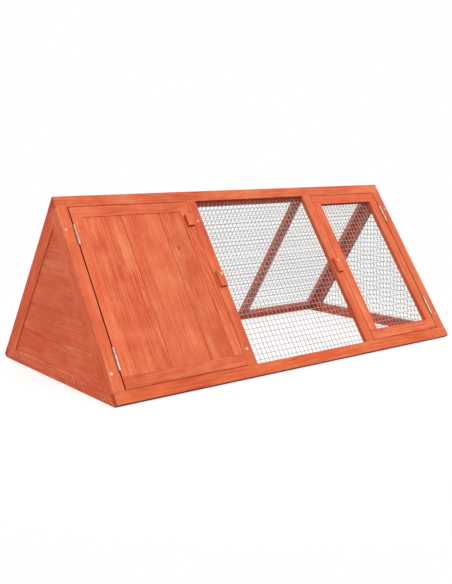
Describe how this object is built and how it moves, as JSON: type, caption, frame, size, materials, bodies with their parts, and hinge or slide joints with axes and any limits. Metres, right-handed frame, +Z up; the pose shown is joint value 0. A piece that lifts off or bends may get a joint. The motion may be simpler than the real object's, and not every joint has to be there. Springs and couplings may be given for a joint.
{
  "type": "rabbit hutch with run",
  "caption": "Triangular timber rabbit hutch: a boarded den at one end, a wire mesh run beside it, a boarded door, a mesh door and wooden turn buttons on the sloping front.",
  "frame": {"origin": "on the ground, in the middle of the footprint", "axes": "+X along the ridge from the den to the mesh gable, -Y towards the front with the doors, +Z up"},
  "size_m": [1.054, 0.536, 0.4098],
  "materials": {
    "stained_timber": "planed softwood with an orange stain",
    "stained_board": "softwood boards with an orange stain",
    "plain_block": "small softwood blocks with the same stain",
    "galvanised_wire": "galvanised wire, dull",
    "hinge_zinc": "zinc plated sheet steel",
    "screw_steel": "zinc plated screws"
  },
  "bodies": {
    "root": {"divider_front_rail": "stained_timber", "divider_panel": "stained_board", "divider_rear_rail": "stained_timber", "frame_hinge_leaves": "hinge_zinc", "frame_hinge_screws": "screw_steel", "front_bottom_rail": "stained_timber", "front_den_stile": "stained_timber", "front_frame_screws": "screw_steel", "front_left_stile": "stained_timber", "front_right_stile": "stained_timber", "front_run_mesh": "galvanised_wire", "front_run_stile": "stained_timber", "front_top_rail": "stained_timber", "hinge_pins": "hinge_zinc", "left_gable_board_1": "stained_board", "left_gable_board_2": "stained_board", "left_gable_board_3": "stained_board", "left_gable_board_4": "stained_board", "left_gable_board_5": "stained_board", "left_gable_bottom_rail": "stained_timber", "left_gable_front_rail": "stained_timber", "left_gable_rear_rail": "stained_timber", "rear_board_1": "stained_board", "rear_board_2": "stained_board", "rear_board_3": "stained_board", "rear_bottom_rail": "stained_timber", "rear_den_stile": "stained_timber", "rear_frame_screws": "screw_steel", "rear_left_stile": "stained_timber", "rear_mesh_long": "galvanised_wire", "rear_mesh_short": "galvanised_wire", "rear_right_stile": "stained_timber", "rear_run_stile": "stained_timber", "rear_top_rail": "stained_timber", "right_gable_bottom_rail": "stained_timber", "right_gable_front_rail": "stained_timber", "right_gable_mesh": "galvanised_wire", "right_gable_rear_rail": "stained_timber", "turn_button_screws": "screw_steel"},
    "solid_door": {"solid_door_board_1": "stained_board", "solid_door_board_2": "stained_board", "solid_door_board_3": "stained_board", "solid_door_bottom_rail": "stained_timber", "solid_door_hinge_leaves": "hinge_zinc", "solid_door_hinge_screws": "screw_steel", "solid_door_left_stile": "stained_timber", "solid_door_pull": "plain_block", "solid_door_right_stile": "stained_timber", "solid_door_top_rail": "stained_timber"},
    "mesh_door": {"mesh_door_bottom_rail": "stained_timber", "mesh_door_hinge_leaves": "hinge_zinc", "mesh_door_hinge_screws": "screw_steel", "mesh_door_left_stile": "stained_timber", "mesh_door_mesh": "galvanised_wire", "mesh_door_right_stile": "stained_timber", "mesh_door_top_rail": "stained_timber"},
    "left_button": {"left_turn_button": "plain_block"},
    "right_button": {"right_turn_button": "plain_block"}
  },
  "joints": [
    {"name": "solid_door_hinge", "type": "hinge", "parent": "root", "child": "solid_door", "pos_m": [-0.4981, -0.13802, 0.20847], "axis": [0, -0.5519, -0.8339], "range_deg": [0, 180]},
    {"name": "mesh_door_hinge", "type": "hinge", "parent": "root", "child": "mesh_door", "pos_m": [0.4981, -0.13802, 0.20847], "axis": [0, 0.5519, 0.8339], "range_deg": [0, 180]},
    {"name": "left_button_turn", "type": "hinge", "parent": "root", "child": "left_button", "pos_m": [-0.16075, -0.1334, 0.2198], "axis": [0, 0.8339, -0.5519], "continuous": true},
    {"name": "right_button_turn", "type": "hinge", "parent": "root", "child": "right_button", "pos_m": [0.23025, -0.1334, 0.2198], "axis": [0, -0.8339, 0.5519], "continuous": true}
  ]
}
